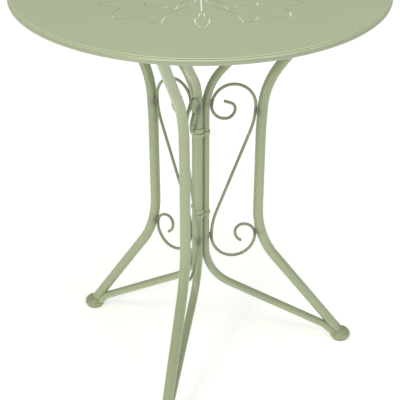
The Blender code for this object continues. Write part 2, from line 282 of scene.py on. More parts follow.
# ---- surfaces -------------------------------------------------------------------------------
def grid_quads(rows: int, columns: int, close_rows: bool = False,
               close_columns: bool = True) -> Array:
    """Quads between neighbouring rows and columns of a grid of points.

    Args:
        rows: number of stations.
        columns: number of points in each.
        close_rows: whether the last row joins the first.
        close_columns: whether the last column joins the first.

    Returns:
        Point numbers, four to a quad.
    """
    row, column = np.meshgrid(np.arange(rows if close_rows else rows - 1),
                              np.arange(columns if close_columns else columns - 1),
                              indexing="ij")
    next_row, next_column = (row + 1) % rows, (column + 1) % columns
    corners = (row * columns + column, next_row * columns + column,
               next_row * columns + next_column, row * columns + next_column)
    return np.stack(corners, -1).reshape(-1, 4)


@dataclass
class Shell:
    """One closed surface: points, quads, triangles, and the film_and_light value of each point.
    """

    points: Array
    quads: Array
    triangles: Array = field(default_factory=lambda: np.empty((0, 3), int))
    film_and_light: Array | None = None
    flat_triangles: bool = False      # the triangles are a flat face with its own normal

    def __post_init__(self) -> None:
        """Give every point an even film, and turn the faces outwards."""
        if self.film_and_light is None:
            self.film_and_light = np.full(len(self.points), EVEN_FILM)
        halves = np.concatenate([self.quads[:, [0, 1, 2]], self.quads[:, [0, 2, 3]],
                                 self.triangles])
        a, b, c = (self.points[halves[:, k]] for k in range(3))
        if np.einsum("ij,ij->i", a, np.cross(b, c)).sum() < 0:
            self.quads = self.quads[:, ::-1]
            self.triangles = self.triangles[:, ::-1]


def grid_shell(grid: Array, ring: bool = False, film_and_light: Array | None = None) -> Shell:
    """Close a grid of points into a shell.

    Args:
        grid: stations x section points x 3; the section is a closed loop.
        ring: whether the last station joins the first; otherwise each end gets a fan.
        film_and_light: value of each grid point, which carries thin film, painted highlight and
            painted shade.

    Returns:
        The closed shell.
    """
    rows, columns = grid.shape[:2]
    points = grid.reshape(-1, 3)
    quads = grid_quads(rows, columns, close_rows=ring)
    values = np.full(len(points), EVEN_FILM) if film_and_light is None else film_and_light.reshape(-1)
    if ring:
        return Shell(points, quads, film_and_light=values)
    hubs = np.stack([grid[0].mean(0), grid[-1].mean(0)])
    around = np.arange(columns)
    after = (around + 1) % columns
    last = (rows - 1) * columns
    near = np.stack([around, after, np.full(columns, len(points))], 1)
    far = np.stack([last + after, last + around, np.full(columns, len(points) + 1)], 1)
    return Shell(np.concatenate([points, hubs]), quads, np.concatenate([near, far]),
                 np.append(values, [values[0], values[-1]]))


def circle(radius: float, sides: int, centre: tuple[float, float] = (0.0, 0.0)) -> Array:
    """Points round a circle: the centre plus the radius times (cos, sin) of the turn.

    Args:
        radius: of the circle.
        sides: number of points.
        centre: of the circle.

    Returns:
        sides x 2 points, counter-clockwise.
    """
    turn = TURN * (np.arange(sides) + 0.5) / sides
    return np.array(centre) + radius * np.stack([np.cos(turn), np.sin(turn)], 1)


def unit(vectors: Array) -> Array:
    """Scale each vector to a length of 1."""
    return vectors / np.linalg.norm(vectors, axis=-1, keepdims=True)


def upright(flat: Array) -> Array:
    """Lift flat (along, height) pairs into the frame, as (along, 0, height)."""
    return np.insert(flat, 1, 0.0, axis=-1)


def headings(line: Array) -> Array:
    """Direction of a flat open line at each point: the mean of its two neighbours' runs."""
    runs = unit(np.diff(line, axis=0))
    return unit(np.concatenate([runs[:1], runs]) + np.concatenate([runs, runs[-1:]]))


def carry(line: Array, section: Array, swell: Array | None = None) -> Array:
    """Carry a section along a flat line.

    A point is line(s) + swell(s) * (p * normal(s) + q * across) for the section's (p, q).

    Args:
        line: n x 2, as (along the frame, height).
        section: m x 2, as (off the line in its plane, across the plane).
        swell: scale of the section at each station.

    Returns:
        n x m x 3 points, as (along the frame, across it, height).
    """
    ahead = headings(line)
    normal = np.stack([ahead[:, 1], -ahead[:, 0]], 1)
    scale = np.ones(len(line)) if swell is None else swell
    offset = scale[:, None, None] * section[None]
    flat = line[:, None] + normal[:, None] * offset[..., :1]
    return np.stack([flat[..., 0], offset[..., 1], flat[..., 1]], -1)


def bent_line(corners: Array, step: float = np.radians(3)) -> Array:
    """Straight runs joined by bends.

    Each bend is an arc tangent to its two runs: it starts radius * tan(turn / 2) before the
    corner, and its centre lies on the bisector, radius / cos(turn / 2) from the corner.

    Args:
        corners: k x 3, as (along, height, bend radius); the ends have no bend.
        step: turn between neighbouring points of an arc.

    Returns:
        n x 2 points.
    """
    pieces = [corners[:1, :2]]
    for before, corner, after in zip(corners, corners[1:], corners[2:]):
        middle = corner[:2]
        back, ahead = unit(before[:2] - middle), unit(after[:2] - middle)
        turn = np.pi - np.arccos(np.clip(back @ ahead, -1, 1))
        centre = middle + unit(back + ahead) * corner[2] / np.cos(turn / 2)
        spoke = middle + back * corner[2] * np.tan(turn / 2) - centre
        side = 1.0 if back[0] * ahead[1] - back[1] * ahead[0] < 0 else -1.0
        angle = side * np.linspace(0, turn, max(3, int(np.ceil(turn / step)) + 1))[:, None]
        pieces.append(centre + spoke * np.cos(angle)
                      + np.array([-spoke[1], spoke[0]]) * np.sin(angle))
    return np.concatenate([*pieces, corners[-1:, :2]])


def arc_chain(start: tuple[float, float], heading: float, pieces: list[tuple[float, float]],
              step: float = np.radians(5)) -> Array:
    """A chain of straight lengths and arcs that all turn to the left.

    An arc's centre is its radius to the left of the last point, and its points are
    centre + radius * (sin, -cos) of the heading as it turns.

    Args:
        start: first point.
        heading: direction at the start, in radians from the first axis.
        pieces: (radius, turn in degrees), or (0, length) for a straight one.
        step: turn between neighbouring points of an arc.

    Returns:
        n x 2 points.
    """
    runs = [np.array([start])]
    for radius, amount in pieces:
        last = runs[-1][-1]
        if radius == 0:
            runs.append((last + amount * np.array([np.cos(heading), np.sin(heading)]))[None])
            continue
        turn = np.radians(amount)
        centre = last + radius * np.array([-np.sin(heading), np.cos(heading)])
        angle = heading + np.linspace(0, turn, int(np.ceil(turn / step)) + 1)[1:]
        runs.append(centre + radius * np.stack([np.sin(angle), -np.cos(angle)], 1))
        heading += turn
    return np.concatenate(runs)


def smooth_line(knots: Array, steps: int = 8) -> Array:
    """A smooth curve through knots.

    Between two knots it is the cubic whose slope at each knot is half the step between that
    knot's neighbours.

    Args:
        knots: k x 2.
        steps: points to each span.

    Returns:
        n x 2 points.
    """
    slope = np.gradient(knots, axis=0)
    share = np.linspace(0, 1, steps, endpoint=False)[None, :, None]
    a, b = knots[:-1, None], knots[1:, None]
    da, db = slope[:-1, None], slope[1:, None]
    curve = ((2 * share**3 - 3 * share**2 + 1) * a + (share**3 - 2 * share**2 + share) * da
             + (3 * share**2 - 2 * share**3) * b + (share**3 - share**2) * db)
    return np.concatenate([curve.reshape(-1, 2), knots[-1:]])


def rounded_strip(line: Array, width: float, end_steps: int = 7) -> Array:
    """Outline of a slot of constant width with round ends, along a line.

    Args:
        line: n x 2 centre line.
        width: of the slot.
        end_steps: points inside each half-round end.

    Returns:
        m x 2 points, counter-clockwise.
    """
    ahead = headings(line)
    left = np.stack([-ahead[:, 1], ahead[:, 0]], 1) * width / 2
    swing = np.linspace(0, np.pi, end_steps + 2)[1:-1, None]
    far = line[-1] - left[-1] * np.cos(swing) + ahead[-1] * width / 2 * np.sin(swing)
    near = line[0] + left[0] * np.cos(swing) - ahead[0] * width / 2 * np.sin(swing)
    return np.concatenate([line - left, far, (line + left)[::-1], near])


def rounded_box(length: float, width: float, corner: float, steps: int = 6) -> Array:
    """Outline of a rectangle with round corners, round the origin.

    Args:
        length: along the first axis.
        width: along the second axis.
        corner: radius of the corners.
        steps: points to each corner.

    Returns:
        m x 2 points, counter-clockwise.
    """
    turn = np.linspace(0, np.pi / 2, steps)[None] + np.pi / 2 * np.arange(4)[:, None]
    signs = np.array([(1, 1), (-1, 1), (-1, -1), (1, -1)])[:, None]
    middles = signs * (np.array([length, width]) / 2 - corner)
    return (middles + corner * np.stack([np.cos(turn), np.sin(turn)], -1)).reshape(-1, 2)


@dataclass
class Plate:
    """A flat level plate with holes, whose edges are rounded above and below.

    Each outline carries one profile: a quarter round of the upper radius, a straight wall,
    and a quarter round of the lower radius, measured into the metal.  The two faces are
    triangulated between the outlines.
    """

    outline: Array                 # counter-clockwise
    holes: list[Array]             # counter-clockwise
    low: float
    high: float
    upper_round: float
    lower_round: float
    hole_round: float = 0.0002
    steps: int = 5
    # outer edges are paler, for the thin film there and as a painted highlight; hole walls are
    # darker, as painted shade
    edge_film_and_highlight: float = 0.25
    wall_shade: float = 0.75

    def loop_rings(self, loop: Array, upper: float, lower: float) -> Array:
        """Carry the edge profile round one outline.

        Args:
            loop: n x 2, with the metal on its left.
            upper: radius of the upper edge.
            lower: radius of the lower edge.

        Returns:
            levels x n x 3 points, from the upper face to the lower one.
        """
        ahead = unit(np.roll(loop, -1, 0) - np.roll(loop, 1, 0))
        inward = np.stack([-ahead[:, 1], ahead[:, 0]], 1)
        swing = np.linspace(0, np.pi / 2, self.steps)
        inset = np.concatenate([upper * (1 - np.sin(swing)), lower * (1 - np.cos(swing))])
        level = np.concatenate([self.high - upper * (1 - np.cos(swing)),
                                self.low + lower * (1 - np.sin(swing))])
        flat = loop[None] + inward[None] * inset[:, None, None]
        height = np.broadcast_to(level[:, None, None], (*flat.shape[:2], 1))
        return np.concatenate([flat, height], 2)

    def shell(self) -> Shell:
        """Join the rings of all outlines and the two faces.

        Returns:
            The closed shell.
        """
        loops = [self.loop_rings(self.outline, self.upper_round, self.lower_round)]
        loops += [self.loop_rings(hole[::-1], self.hole_round, self.hole_round)
                  for hole in self.holes]
        levels = loops[0].shape[0]
        points, quads, film_and_light, upper_ids, lower_ids, start = [], [], [], [], [], 0
        for number, rings in enumerate(loops):
            count = rings.shape[1]
            points.append(rings.reshape(-1, 3))
            quads.append(grid_quads(levels, count) + start)
            upper_ids.append(start + np.arange(count))
            lower_ids.append(start + (levels - 1) * count + np.arange(count))
            # outline wall: thin film and painted highlight; hole walls: painted shade
            wall = self.edge_film_and_highlight if number == 0 else self.wall_shade
            profile = np.full(levels, wall)
            profile[[0, -1]] = EVEN_FILM
            film_and_light.append(np.repeat(profile, count))
            start += levels * count
        points = np.concatenate(points)
        faces = [self.face(points, ids) for ids in (upper_ids, lower_ids)]
        quads = np.concatenate(quads)
        return Shell(points, quads, np.concatenate([faces[0], faces[1][:, ::-1]]),
                     np.concatenate(film_and_light), flat_triangles=True)

    @staticmethod
    def face(points: Array, loop_ids: list[Array]) -> Array:
        """Triangulate the flat face between an outline and its holes.

        Args:
            points: all points of the plate.
            loop_ids: point numbers of the outline, then of each hole.

        Returns:
            Point numbers, three to a triangle, seen counter-clockwise from above.
        """
        ids = np.concatenate(loop_ids)
        edges = np.cumsum([0] + [len(loop) for loop in loop_ids])
        rings = [list(range(a, b))[::1 if a == 0 else -1] for a, b in zip(edges, edges[1:])]
        flat = [Vector(p) for p in points[ids][:, :2]]
        result = geometry.delaunay_2d_cdt(flat, [], rings, 1, 1e-9)
        kept = [t for t, owners in zip(result[2], result[5]) if owners == [0]]
        sources = np.array([source[0] for source in result[3]])
        return ids[sources[np.array(kept)]]


def turned(profile: Array, sides: int, centre: tuple[float, float]) -> Shell:
    """A solid of revolution: each (radius, height) goes once round the upright axis.

    Args:
        profile: n x 2, from the lower face to the top; its end radii are small, not 0.
        sides: points in each ring.
        centre: where the axis stands.

    Returns:
        The closed shell.
    """
    rings = circle(1.0, sides)[None] * profile[:, None, :1] + np.array(centre)
    height = np.broadcast_to(profile[:, None, 1:], (len(profile), sides, 1))
    return grid_shell(np.concatenate([rings, height], 2))


def bead_ring(curve: Array, radius: float, ripples: int, sides: int = 10) -> Shell:
    """A weld bead round a closed curve.

    A round section sits on the curve, in the plane of the outward direction from the curve's
    middle and the direction square to the curve; its radius swells by a small sine with the
    ripples left by the torch.

    Args:
        curve: n x 3, closed.
        radius: of the bead.
        ripples: number of swellings round the curve.
        sides: points in the section.

    Returns:
        The closed shell.
    """
    along = unit(np.roll(curve, -1, 0) - np.roll(curve, 1, 0))
    outward = curve - curve.mean(0)
    outward = unit(outward - along * np.einsum("ij,ij->i", outward, along)[:, None])
    aside = np.cross(along, outward)
    wave = np.sin(TURN * ripples * np.arange(len(curve)) / len(curve))
    swell = radius * (1 + BEAD_SWELL * wave)
    spot = circle(1.0, sides)
    grid = (curve[:, None] + swell[:, None, None]
            * (spot[None, :, :1] * outward[:, None] + spot[None, :, 1:] * aside[:, None]))
    # the bead is painted darker, as shade at its joint
    film_and_light = np.broadcast_to(BEAD_SHADE + BEAD_SHADE_RIPPLE * wave[:, None], grid.shape[:2])
    return grid_shell(grid, ring=True, film_and_light=film_and_light)


def weld_lump(centre: Array, axes: Array, halves: tuple[float, float, float],
              rings: int = 10, sides: int = 16) -> Shell:
    """A small weld: an ellipsoid whose radius swells a little with three and five waves.

    Args:
        centre: of the lump.
        axes: 3 x 3, its directions as rows.
        halves: half length along each direction.
        rings: stations from pole to pole.
        sides: points in each.

    Returns:
        The closed shell.
    """
    lift = np.linspace(-np.pi / 2, np.pi / 2, rings + 2)[1:-1, None]
    turn = TURN * np.arange(sides)[None] / sides
    three, five = LUMP_WAVES
    swell = 1 + three * np.sin(3 * turn + 4 * lift) + five * np.cos(5 * turn)
    local = np.stack([np.sin(lift) * np.ones_like(turn), swell * np.cos(lift) * np.cos(turn),
                      swell * np.cos(lift) * np.sin(turn)], -1) * np.array(halves)
    grid = centre + local @ axes
    # the lump is painted darker, as shade at its joint
    return grid_shell(grid, film_and_light=np.full(grid.shape[:2], LUMP_SHADE))


# ---- pieces ---------------------------------------------------------------------------------
def make_piece(name: str, shells: list[Shell], finish: Finish, body: str,
               nodes: list[str], sharp: float = np.radians(38)) -> bpy.types.Object:
    """Put shells into one mesh, dress it, and tie it to the frame.

    Args:
        name: of the piece.
        shells: its closed surfaces.
        finish: its finish.
        body: the body it rides on.
        nodes: the frame nodes it stands for.
        sharp: edges that turn by more than this stay sharp.

    Returns:
        The new object.
    """
    starts = np.cumsum([0] + [len(shell.points) for shell in shells])
    quads = np.concatenate([s.quads + start for s, start in zip(shells, starts)])
    triangles = np.concatenate([s.triangles + start for s, start in zip(shells, starts)])
    mesh = bpy.data.meshes.new(name)
    mesh.from_pydata(np.concatenate([s.points for s in shells]).tolist(), [],
                     quads.tolist() + triangles.tolist())
    smooth = np.concatenate([np.ones(len(quads), bool),
                             *(np.full(len(s.triangles), not s.flat_triangles)
                               for s in shells)])
    # film_and_light holds the paler thin film over edges, the painted highlights and the painted
    # shade
    film_and_light = mesh.attributes.new("film_and_light", "FLOAT", "POINT")
    film_and_light.data.foreach_set("value", np.concatenate([s.film_and_light for s in shells]).astype(np.float32))
    mesh.set_sharp_from_angle(angle=float(sharp))
    mesh.polygons.foreach_set("use_smooth", smooth)     # last, because the line above clears it
    mesh.materials.append(finish.material())
    mesh.validate()
    piece = bpy.data.objects.new(name, mesh)
    bpy.context.scene.collection.objects.link(piece)
    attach(piece, body)
    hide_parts(*nodes)
    LOG.info("%s: %d faces, %s, rides on %s", name, len(mesh.polygons), finish.name, body)
    return piece


# ---- the top --------------------------------------------------------------------------------
@dataclass
class SlotPattern:
    """The flower cut through the sheet: four petals, each with a smaller copy inside, and
    four drops on stalks between them.  Points are (along the petal's axis, across it)."""

    width: float = 0.0015
    petal_axes: tuple[float, ...] = (48.4, 134.0, 228.4, 314.0)
    drop_axes: tuple[float, ...] = (1.2, 91.2, 181.2, 271.2)
    small_scale: float = 0.645
    petal_side: tuple = ((0.0435, 0.0323), (0.060, 0.0416), (0.085, 0.0486), (0.106, 0.0470),
                         (0.127, 0.0485), (0.145, 0.0565), (0.158, 0.0645))
    petal_lobe: tuple = ((0.1625, 0.0610), (0.1640, 0.0500), (0.1605, 0.0400),
                         (0.1550, 0.0300))
    petal_tip: tuple = ((0.1545, 0.0235), (0.1620, 0.0205), (0.1720, 0.0185),
                        (0.1810, 0.0125), (0.1885, 0.0025))
    drop_side: tuple = ((0.1185, 0.0022), (0.1330, 0.0050), (0.1420, 0.0095),
                        (0.1500, 0.0108), (0.1600, 0.0096), (0.1710, 0.0060),
                        (0.1810, 0.0022))
    drop_stalk: tuple = ((0.045, 0.0), (0.079, 0.0), (0.112, 0.0))

    def strokes(self) -> list[tuple[float, Array]]:
        """Every slot's knots before it is turned to its axis.

        Returns:
            (axis in degrees, knots) pairs.
        """
        mirror = np.array([1.0, -1.0])
        found = []
        for axis in self.petal_axes:
            for scale in (1.0, self.small_scale):
                for stroke in (self.petal_side, self.petal_lobe, self.petal_tip):
                    knots = np.array(stroke) * scale
                    found += [(axis, knots), (axis, knots * mirror)]
        for axis in self.drop_axes:
            knots = np.array(self.drop_side)
            found += [(axis, knots), (axis, knots * mirror),
                      (axis, np.array(self.drop_stalk))]
        return found

    def outlines(self) -> list[Array]:
        """Outline of every slot, as (x, y) counter-clockwise.

        Returns:
            One array to a slot.
        """
        found = []
        for axis, knots in self.strokes():
            cos, sin = np.cos(np.radians(axis)), np.sin(np.radians(axis))
            line = smooth_line(knots) @ np.array([[cos, sin], [-sin, cos]])
            found.append(rounded_strip(line, self.width))
        return found


@dataclass
class TableTop:
    """The slotted sheet, the round hoop under its edge and the tack welds between them."""

    sheet_radius: float = 0.2968
    hoop_radius: float = 0.005
    gap: float = 0.0003
    upper_round: float = 0.0008
    lower_round: float = 0.0003
    sheet_sides: int = 288
    hoop_stations: int = 288
    hoop_sides: int = 40
    crest_lift: float = 60.0       # degrees above level, on the outer side
    crest_width: float = 8.0
    # the sheet's outer edge is paler, for the thin film and as a painted highlight along the rim
    sheet_edge_film_and_highlight: float = 0.2
    # the hoop's crest is painted paler, as a highlight
    crest_highlight: float = 0.10
    shade_start: float = 45.0        # below this angle the hoop is painted darker, as shade on its lower side
    shade_spread: float = 20.0
    lower_side_shade: float = 0.30
    tacks: int = 24
    first_tack: float = 0.37       # of the step between two tacks
    tack_halves: tuple[float, float, float] = (0.0055, 0.0022, 0.0016)
    tack_inset: float = 0.62       # of the rod's radius, inside its middle
    tack_drop: float = 0.0008
    pattern: SlotPattern = field(default_factory=SlotPattern)

    def __post_init__(self) -> None:
        """Take the levels and the outer radius from the frame."""
        low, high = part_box("table_top")
        self.underside, self.height = low.z, high.z
        self.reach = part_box("rim_hoop")[1].x
        self.hoop_level = self.underside - self.gap - self.hoop_radius

    def build(self) -> None:
        """Build and dress the sheet, the hoop and the tacks."""
        body = "top_and_front_frame"
        sheet = Plate(circle(self.sheet_radius, self.sheet_sides), self.pattern.outlines(),
                      self.underside, self.height, self.upper_round, self.lower_round,
                      edge_film_and_highlight=self.sheet_edge_film_and_highlight)
        make_piece("top_sheet", [sheet.shell()], Finish.TOP, body, ["table_top"])
        make_piece("rim_ring", [self.hoop()], Finish.TOP, body, ["rim_hoop"])
        make_piece("rim_tack_welds", self.tack_welds(), Finish.TOP, body, [])

    def hoop(self) -> Shell:
        """A ring: a circle of the rod's radius goes round the table's axis.

        A painted highlight pales the crest of its outer upper side, as a bell curve of the
        angle, and painted shade darkens the side below shade_start degrees.

        Returns:
            The closed shell.
        """
        middle = self.reach - self.hoop_radius
        turn = TURN * np.arange(self.hoop_stations)[:, None] / self.hoop_stations
        spot = circle(self.hoop_radius, self.hoop_sides)
        reach = middle + spot[None, :, 0]
        grid = np.stack([reach * np.cos(turn), reach * np.sin(turn),
                         np.broadcast_to(self.hoop_level + spot[None, :, 1],
                                         (self.hoop_stations, self.hoop_sides))], -1)
        lift = np.degrees(np.arctan2(spot[:, 1], spot[:, 0]))
        # painted highlight over the crest, painted shade over the side below shade_start
        crest = np.exp(-((lift - self.crest_lift) / self.crest_width) ** 2)
        below = np.clip((self.shade_start - lift) / self.shade_spread, 0, 1)
        film_and_light = np.broadcast_to(EVEN_FILM - self.crest_highlight * crest[None]
                               + self.lower_side_shade * below[None], grid.shape[:2])
        return grid_shell(grid, ring=True, film_and_light=film_and_light)

    def tack_welds(self) -> list[Shell]:
        """Short welds in the corner between the hoop and the sheet, inside the hoop.

        Returns:
            One shell to a weld.
        """
        place = self.reach - self.hoop_radius - self.tack_inset * self.hoop_radius
        level = self.underside - self.tack_drop
        shells = []
        for turn in TURN * (np.arange(self.tacks) + self.first_tack) / self.tacks:
            out = np.array([np.cos(turn), np.sin(turn), 0.0])
            along = np.array([-np.sin(turn), np.cos(turn), 0.0])
            shells.append(weld_lump(out * place + np.array([0, 0, level]),
                                    np.array([along, out, [0, 0, 1]]), self.tack_halves))
        return shells


# ---- a frame --------------------------------------------------------------------------------
class Side(Enum):
    """The three frames: name, direction from the centre in degrees, and body."""

    FRONT = ("front", 256.45, "top_and_front_frame")
    RIGHT = ("right", 13.5, "right_frame")
    LEFT = ("left", 139.2, "left_frame")

    def place(self, points: Array) -> Array:
        """Turn frame points, (from the centre, across, height), to where they stand.

        Args:
            points: ... x 3.

        Returns:
            The same points as (x, y, z).
        """
        cos, sin = np.cos(np.radians(self.value[1])), np.sin(np.radians(self.value[1]))
        return points @ np.array([[cos, sin, 0], [-sin, cos, 0], [0, 0, 1]])

    def post_place(self, distance: float) -> Array:
        """Where the axis of this frame's upright post stands, as (x, y)."""
        return self.place(np.array([distance, 0.0, 0.0]))[:2]


@dataclass
class BallFoot:
    """A low ball foot turned from solid bar, on a thin dark glide that is painted contact
    shadow.
    """

    reach: float = 0.2656
    radius: float = 0.0185
    height: float = 0.0215
    widest: float = 0.0075
    glide_height: float = 0.0016
    glide_radius: float = 0.0145
    glide_edge: float = 0.0005
    glide_bite: float = 0.0002         # how far the glide stands into the ball
    under_turn: float = 0.42 * np.pi   # how far the curve runs on under the widest level
    under_fullness: float = 0.35
    base_inset: float = 0.0008
    base_bevel: float = 0.0004
    crown: tuple[float, float] = (0.0006, 0.00002)     # radius, and depth below the top
    sides: int = 64

    def ball_profile(self) -> Array:
        """Lower quarter and dome: (radius * cos, widest + rise * sin) of the lift.

        Under the widest level the cosine is raised to a small power, which keeps it full.

        Returns:
            n x 2, as (radius, height), from the flat underside to the crown.
        """
        drop = np.linspace(-self.under_turn, 0, 9)[:-1]
        depth = (self.widest - self.glide_height) * np.sin(drop) / np.sin(self.under_turn)
        lower = np.stack([self.radius * np.cos(drop) ** self.under_fullness,
                          self.widest + depth], 1)
        lift = np.linspace(0, np.pi / 2, 22)[:-1]
        dome = np.stack([self.radius * np.cos(lift),
                         self.widest + (self.height - self.widest) * np.sin(lift)], 1)
        lower[:, 0] = np.maximum(lower[:, 0], self.glide_radius - self.base_inset)
        base = [[POLE, self.glide_height], [lower[0, 0] - self.base_bevel, self.glide_height]]
        return np.concatenate([base, lower, dome,
                               [[self.crown[0], self.height - self.crown[1]]]])

    def glide_profile(self) -> Array:
        """A disc with small rounded edges.

        Returns:
            n x 2, as (radius, height).
        """
        swing = np.linspace(0, np.pi / 2, 5)
        edge = self.glide_edge * (1 - np.stack([np.sin(swing), np.cos(swing)], 1))
        lower = np.array([self.glide_radius, 0.0]) + np.array([-1.0, 1.0]) * edge
        top = self.glide_height + self.glide_bite
        return np.concatenate([[[POLE, 0.0]], lower, [[self.glide_radius, top], [POLE, top]]])

    def meet(self, start: Array, direction: Array, offsets: Array) -> Array:
        """Where lines leave the ball's dome.

        The dome is (r / radius)^2 + ((z - widest) / rise)^2 = 1; a line's distance along its
        direction is the larger root of that quadratic.

        Args:
            start: a point on the tube's centre line, as (from the centre, across, height).
            direction: of the tube.
            offsets: n x 3, from the centre line to each line on the tube's wall.

        Returns:
            n x 3 points.
        """
        scale = 1 / np.array([self.radius, self.radius, self.height - self.widest])
        origin = (start + offsets - np.array([self.reach, 0, self.widest])) * scale
        heading = direction * scale
        a = heading @ heading
        b = origin @ heading
        c = np.einsum("ij,ij->i", origin, origin) - 1
        far = (-b + np.sqrt(np.maximum(b * b - a * c, 0))) / a
        return start + offsets + direction * far[:, None]


@dataclass
class LegFrame:
    """One frame: outer leg tube, inner post tube, scroll, ball foot, top plates and welds."""

    side: Side
    outer_radius: float = 0.0088
    inner_radius: float = 0.0069
    scroll_radius: float = 0.0026
    outer_corners: tuple = ((0.2656, 0.0115, 0), (0.1020, 0.2383, 0.167),
                            (0.1045, 0.4393, 0.150), (0.1093, 0.5247, 0.127),
                            (0.2578, 0.6952, 0))
    inner_corners: tuple = ((0.2530, 0.0130, 0), (0.2320, 0.0343, 0.030),
                            (0.0091, 0.1784, 0.0955), (0.0091, 0.4989, 0.100),
                            (0.0202, 0.5404, 0.0865), (0.1863, 0.6952, 0))
    scroll_middle: tuple[float, float] = (0.0586, 0.3705)
    scroll_lean: float = 22.0
    scroll_narrowing: float = 0.975    # the arcs are squeezed by this much along the frame
    upper_scroll: tuple = ((0, 0.0756), (0.121, 22.0), (0.0419, 90), (0.0352, 90),
                           (0.0250, 90), (0.0160, 90), (0.0119, 69), (0, 0.0119))
    lower_scroll: tuple = ((0, 0.0816), (0.122, 22.0), (0.0469, 45), (0.0413, 45),
                           (0.0368, 90), (0.0231, 90), (0.0135, 90), (0.0207, 60))
    plate_length: float = 0.030
    plate_width: float = 0.040
    plate_corner: float = 0.004
    plate_round: float = 0.0005
    stud_offset: float = 0.0145
    stud_clearance: float = 0.0028
    weld_half_length: float = 0.0060
    weld_half_width: float = 0.0021
    weld_bite: float = 0.0015          # how far a weld reaches into each part
    plate_bead: float = 0.0013
    foot_bead: float = 0.0011
    plate_ripples: int = 14
    foot_ripples: int = 12
    # painted shade round each weld: how far it reaches and how dark it gets
    shade_reach: float = 0.0085
    shade_depth: float = 0.5
    tube_sides: int = 40
    tube_step: float = 0.006           # longest run between two stations
    scroll_sides: int = 20
    scroll_step: float = 0.004
    bluntness: float = 0.55            # length of the scroll's domed ends, of its radius
    last_share: float = 0.985          # where on that length a fan closes the end
    scroll_shade: float = 0.16      # the thin bar is painted darker than the tubes, as shade
    foot: BallFoot = field(default_factory=BallFoot)

    def __post_init__(self) -> None:
        """Work out the centre lines and take the plate levels from the frame."""
        self.name, _, self.body = self.side.value
        low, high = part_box("outer_top_pad_" + self.name)
        self.plate_low, self.plate_high = low.z, high.z
        self.outer = bent_line(np.array(self.outer_corners))
        self.inner = bent_line(np.array(self.inner_corners))
        lean = np.radians(self.scroll_lean)
        upward = np.pi / 2 - lean
        upper = arc_chain(self.scroll_middle, upward, list(self.upper_scroll))
        lower = arc_chain(self.scroll_middle, upward + np.pi, list(self.lower_scroll))
        middle = np.array([self.scroll_middle[0], 0.0])
        self.scroll = (middle + (np.concatenate([upper[:0:-1], lower]) - middle)
                       * np.array([self.scroll_narrowing, 1.0]))

    def build(self) -> None:
        """Build and dress every piece of the frame."""
        contacts = self.contacts()
        for name, line, radius, node in (
                ("leg_tube_", self.outer, self.outer_radius, "outer_tube_"),
                ("post_tube_", self.inner, self.inner_radius, "inner_tube_")):
            self.piece(name, [self.tube(line, radius, contacts)], Finish.FRAME, "frame_paint",
                       [node])
        self.piece("scroll_bar_", [self.scroll_bar(contacts)], Finish.FRAME, "frame_paint",
                   ["scroll_"])
        at = tuple(self.side.place(np.array([self.foot.reach, 0.0, 0.0]))[:2])
        self.piece("ball_foot_", [turned(self.foot.ball_profile(), self.foot.sides, at)],
                   Finish.FOOT, "foot_paint", ["foot_"])
        # a dark disc under the ball, painted as the foot's contact shadow
        self.piece("foot_glide_", [turned(self.foot.glide_profile(), self.foot.sides, at)],
                   Finish.GLIDE, "foot_paint", [])
        for row, line in (("outer", self.outer), ("inner", self.inner)):
            self.piece(row + "_plate_", [self.plate(line[-1, 0])], Finish.FRAME, "frame_paint",
                       [row + "_top_pad_"])
        self.piece("frame_welds_", self.welds(contacts), Finish.FRAME, "frame_paint", [])

    def piece(self, name: str, shells: list[Shell], finish: Finish, slot: str,
              nodes: list[str]) -> None:
        """Make one piece of this frame; names and nodes get the frame's name added."""
        make_piece(name + self.name, shells, finish, self.body,
                   [node + self.name for node in nodes])

    def placed(self, grid: Array, ring: bool = False, film_and_light: Array | None = None) -> Shell:
        """Close a grid of frame points where the frame stands."""
        return grid_shell(self.side.place(grid), ring, film_and_light)

    def contacts(self) -> list[tuple[Array, Array, float]]:
        """Where the scroll is welded to the tubes.

        On each half of the scroll, the point nearest to each tube's centre line.  The weld
        fills the gap from the scroll's surface to the tube's.

        Returns:
            (middle of the weld, unit direction to the tube, width of the gap) for each, in
            the frame's plane.
        """
        found = []
        for line, radius in ((self.outer, self.outer_radius), (self.inner, self.inner_radius)):
            fine = np.concatenate([np.linspace(a, b, 24, endpoint=False)
                                   for a, b in zip(line, line[1:])])
            for upper in (True, False):
                half = self.scroll[(self.scroll[:, 1] > self.scroll_middle[1]) == upper]
                reach = np.linalg.norm(half[:, None] - fine[None], axis=2)
                s, t = np.unravel_index(reach.argmin(), reach.shape)
                toward = unit(fine[t] - half[s])
                gap = float(reach[s, t]) - radius - self.scroll_radius
                found.append((half[s] + toward * (self.scroll_radius + gap / 2), toward, gap))
        return found

    def weld_shade(self, grid: Array, contacts: list[tuple[Array, Array, float]],
              extra: list[Array]) -> Array:
        """film_and_light value: even, and painted darker as shade within a few millimetres of
        each weld.

        Args:
            grid: ... x 3 frame points.
            contacts: the scroll's contacts.
            extra: other weld places, as frame points.

        Returns:
            The film_and_light value of each point.
        """
        spots = [upright(middle) for middle, _, _ in contacts] + extra
        film_and_light = np.full(grid.shape[:-1], EVEN_FILM)
        for spot in spots:
            away = np.linalg.norm(grid - spot, axis=-1)
            # painted shade, darkest at each weld
            film_and_light = np.maximum(film_and_light, EVEN_FILM + self.shade_depth
                              * np.exp(-(away / self.shade_reach) ** 2))
        return film_and_light

    @staticmethod
    def densify(line: Array, longest: float) -> Array:
        """Add points to a line so that no run is longer than the given length.

        Args:
            line: its points.
            longest: run that is allowed.

        Returns:
            The line with the points put in.
        """
        runs = [np.linspace(a, b, max(1, int(np.ceil(np.linalg.norm(b - a) / longest))),
                            endpoint=False) for a, b in zip(line, line[1:])]
        return np.concatenate([*runs, line[-1:]])

